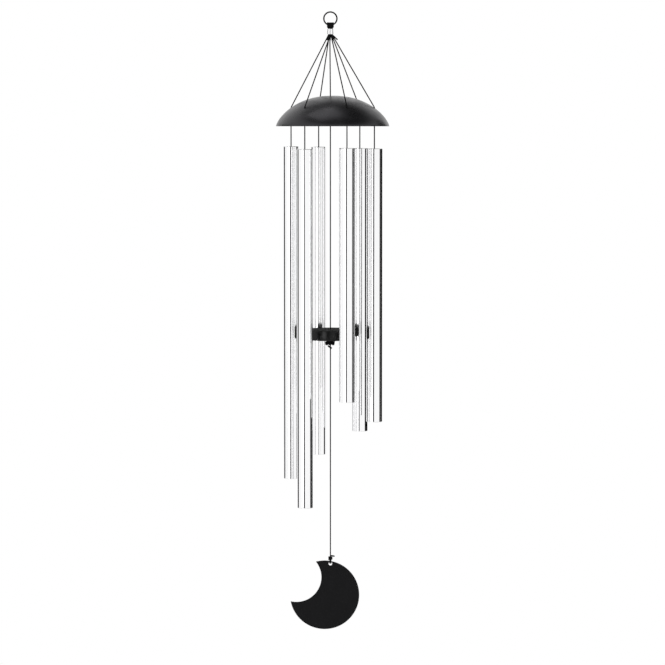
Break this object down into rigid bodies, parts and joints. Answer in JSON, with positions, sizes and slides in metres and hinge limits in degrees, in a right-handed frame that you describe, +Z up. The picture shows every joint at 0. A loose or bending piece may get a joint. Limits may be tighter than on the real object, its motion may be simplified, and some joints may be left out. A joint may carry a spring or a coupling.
{
  "type": "wind chime",
  "caption": "Hanging wind chime: a round dome on corded hanger, hollow metal tubes of graded length, a disc striker and a flat crescent sail on one line.",
  "frame": {"origin": "the point inside the top of the hang ring where a hook touches it", "axes": "+Z up along the hanging line, +X to the right of someone who faces the crescent sail, +Y away from them"},
  "size_m": [0.2032, 0.2032, 1.1158],
  "materials": {
    "ring": "black coated steel wire, satin",
    "sleeve": "polished, bright",
    "dome": "satin black coating",
    "cord": "black braided cord",
    "tube": "polished, clear anodised silver",
    "pin": "plain steel",
    "striker": "satin black paint",
    "sail": "satin black coating"
  },
  "bodies": {
    "ring": {"hang_ring": "ring"},
    "canopy": {"sleeve": "sleeve", "dome": "dome", "upper_cord_2": "cord", "upper_cord_3": "cord", "upper_cord_centre": "cord", "upper_cord_1": "cord", "upper_cord_6": "cord", "upper_cord_4": "cord", "upper_cord_5": "cord"},
    "knot_1": {"tube_knot_1": "cord"},
    "cord_1": {"tube_cord_1": "cord"},
    "tube_1": {"tube_1": "tube", "tube_pin_1": "pin"},
    "knot_2": {"tube_knot_2": "cord"},
    "cord_2": {"tube_cord_2": "cord"},
    "tube_2": {"tube_2": "tube", "tube_pin_2": "pin"},
    "knot_3": {"tube_knot_3": "cord"},
    "cord_3": {"tube_cord_3": "cord"},
    "tube_3": {"tube_3": "tube", "tube_pin_3": "pin"},
    "knot_4": {"tube_knot_4": "cord"},
    "cord_4": {"tube_cord_4": "cord"},
    "tube_4": {"tube_4": "tube", "tube_pin_4": "pin"},
    "knot_5": {"tube_knot_5": "cord"},
    "cord_5": {"tube_cord_5": "cord"},
    "tube_5": {"tube_5": "tube", "tube_pin_5": "pin"},
    "knot_6": {"tube_knot_6": "cord"},
    "cord_6": {"tube_cord_6": "cord"},
    "tube_6": {"tube_6": "tube", "tube_pin_6": "pin"},
    "centre_knot": {"centre_knot": "cord"},
    "striker_cord": {"striker_cord": "cord"},
    "striker": {"striker": "striker"},
    "striker_knot": {"striker_knot": "cord"},
    "sail_cord": {"sail_cord": "cord"},
    "sail_knot": {"sail_knot": "cord"},
    "sail": {"sail": "sail"}
  },
  "joints": [
    {"name": "hanger_swing", "type": "hinge", "parent": "ring", "child": "canopy", "pos_m": [0, 0, -0.02182], "axis": [1, 0, 0], "range_deg": [-25, 25]},
    {"name": "tube_1_to_fro", "type": "hinge", "parent": "canopy", "child": "knot_1", "pos_m": [-0.04536, -0.05779, -0.17601], "axis": [1, 0, 0], "range_deg": [-20, 2.8]},
    {"name": "tube_1_sideways", "type": "hinge", "parent": "knot_1", "child": "cord_1", "pos_m": [-0.04536, -0.05779, -0.17601], "axis": [0, 1, 0], "range_deg": [-5, 20]},
    {"name": "tube_1_rock", "type": "hinge", "parent": "cord_1", "child": "tube_1", "pos_m": [-0.04536, -0.05779, -0.25331], "axis": [-1, 0, 0], "range_deg": [-3.5, 20]},
    {"name": "tube_2_to_fro", "type": "hinge", "parent": "canopy", "child": "knot_2", "pos_m": [-0.07073, 0.01385, -0.17601], "axis": [1, 0, 0], "range_deg": [-4.8, 20]},
    {"name": "tube_2_sideways", "type": "hinge", "parent": "knot_2", "child": "cord_2", "pos_m": [-0.07073, 0.01385, -0.17601], "axis": [0, 1, 0], "range_deg": [-1.9, 20]},
    {"name": "tube_2_rock", "type": "hinge", "parent": "cord_2", "child": "tube_2", "pos_m": [-0.07073, 0.01385, -0.24871], "axis": [-1, 0, 0], "range_deg": [-20, 5.4]},
    {"name": "tube_3_to_fro", "type": "hinge", "parent": "canopy", "child": "knot_3", "pos_m": [-0.02137, 0.07164, -0.17601], "axis": [1, 0, 0], "range_deg": [-2.3, 20]},
    {"name": "tube_3_sideways", "type": "hinge", "parent": "knot_3", "child": "cord_3", "pos_m": [-0.02137, 0.07164, -0.17601], "axis": [0, 1, 0], "range_deg": [-4.7, 20]},
    {"name": "tube_3_rock", "type": "hinge", "parent": "cord_3", "child": "tube_3", "pos_m": [-0.02137, 0.07164, -0.24971], "axis": [-1, 0, 0], "range_deg": [-20, 2.8]},
    {"name": "tube_4_to_fro", "type": "hinge", "parent": "canopy", "child": "knot_4", "pos_m": [0.05336, 0.05779, -0.17601], "axis": [1, 0, 0], "range_deg": [-4.5, 20]},
    {"name": "tube_4_sideways", "type": "hinge", "parent": "knot_4", "child": "cord_4", "pos_m": [0.05336, 0.05779, -0.17601], "axis": [0, 1, 0], "range_deg": [-20, 4.7]},
    {"name": "tube_4_rock", "type": "hinge", "parent": "cord_4", "child": "tube_4", "pos_m": [0.05336, 0.05779, -0.25221], "axis": [-1, 0, 0], "range_deg": [-20, 5.6]},
    {"name": "tube_5_to_fro", "type": "hinge", "parent": "canopy", "child": "knot_5", "pos_m": [0.07873, -0.01385, -0.17601], "axis": [1, 0, 0], "range_deg": [-20, 5.7]},
    {"name": "tube_5_sideways", "type": "hinge", "parent": "knot_5", "child": "cord_5", "pos_m": [0.07873, -0.01385, -0.17601], "axis": [0, 1, 0], "range_deg": [-20, 3]},
    {"name": "tube_5_rock", "type": "hinge", "parent": "cord_5", "child": "tube_5", "pos_m": [0.07873, -0.01385, -0.25251], "axis": [-1, 0, 0], "range_deg": [-6.6, 20]},
    {"name": "tube_6_to_fro", "type": "hinge", "parent": "canopy", "child": "knot_6", "pos_m": [0.02937, -0.07164, -0.17601], "axis": [1, 0, 0], "range_deg": [-20, 2.9]},
    {"name": "tube_6_sideways", "type": "hinge", "parent": "knot_6", "child": "cord_6", "pos_m": [0.02937, -0.07164, -0.17601], "axis": [0, 1, 0], "range_deg": [-20, 5.3]},
    {"name": "tube_6_rock", "type": "hinge", "parent": "cord_6", "child": "tube_6", "pos_m": [0.02937, -0.07164, -0.25131], "axis": [-1, 0, 0], "range_deg": [-3.5, 20]},
    {"name": "striker_to_fro", "type": "hinge", "parent": "canopy", "child": "centre_knot", "pos_m": [0, 0, -0.15273], "axis": [1, 0, 0], "range_deg": [-2.7, 2.2]},
    {"name": "striker_sideways", "type": "hinge", "parent": "centre_knot", "child": "striker_cord", "pos_m": [0, 0, -0.15273], "axis": [0, 1, 0], "range_deg": [-2.8, 1.8]},
    {"name": "striker_turn", "type": "hinge", "parent": "striker_cord", "child": "striker", "pos_m": [0, 0, -0.586], "axis": [0, 0, 1], "continuous": true},
    {"name": "sail_to_fro", "type": "hinge", "parent": "striker_cord", "child": "striker_knot", "pos_m": [0, 0, -0.59125], "axis": [1, 0, 0], "range_deg": [-20, 20]},
    {"name": "sail_sideways", "type": "hinge", "parent": "striker_knot", "child": "sail_cord", "pos_m": [0, 0, -0.59125], "axis": [0, 1, 0], "range_deg": [-12, 12]},
    {"name": "sail_turn", "type": "hinge", "parent": "sail_cord", "child": "sail_knot", "pos_m": [0, 0, -0.97967], "axis": [0, 0, 1], "range_deg": [-170, 170]},
    {"name": "sail_rock", "type": "hinge", "parent": "sail_knot", "child": "sail", "pos_m": [0, 0, -0.9928], "axis": [0, 1, 0], "range_deg": [-10, 10]}
  ]
}
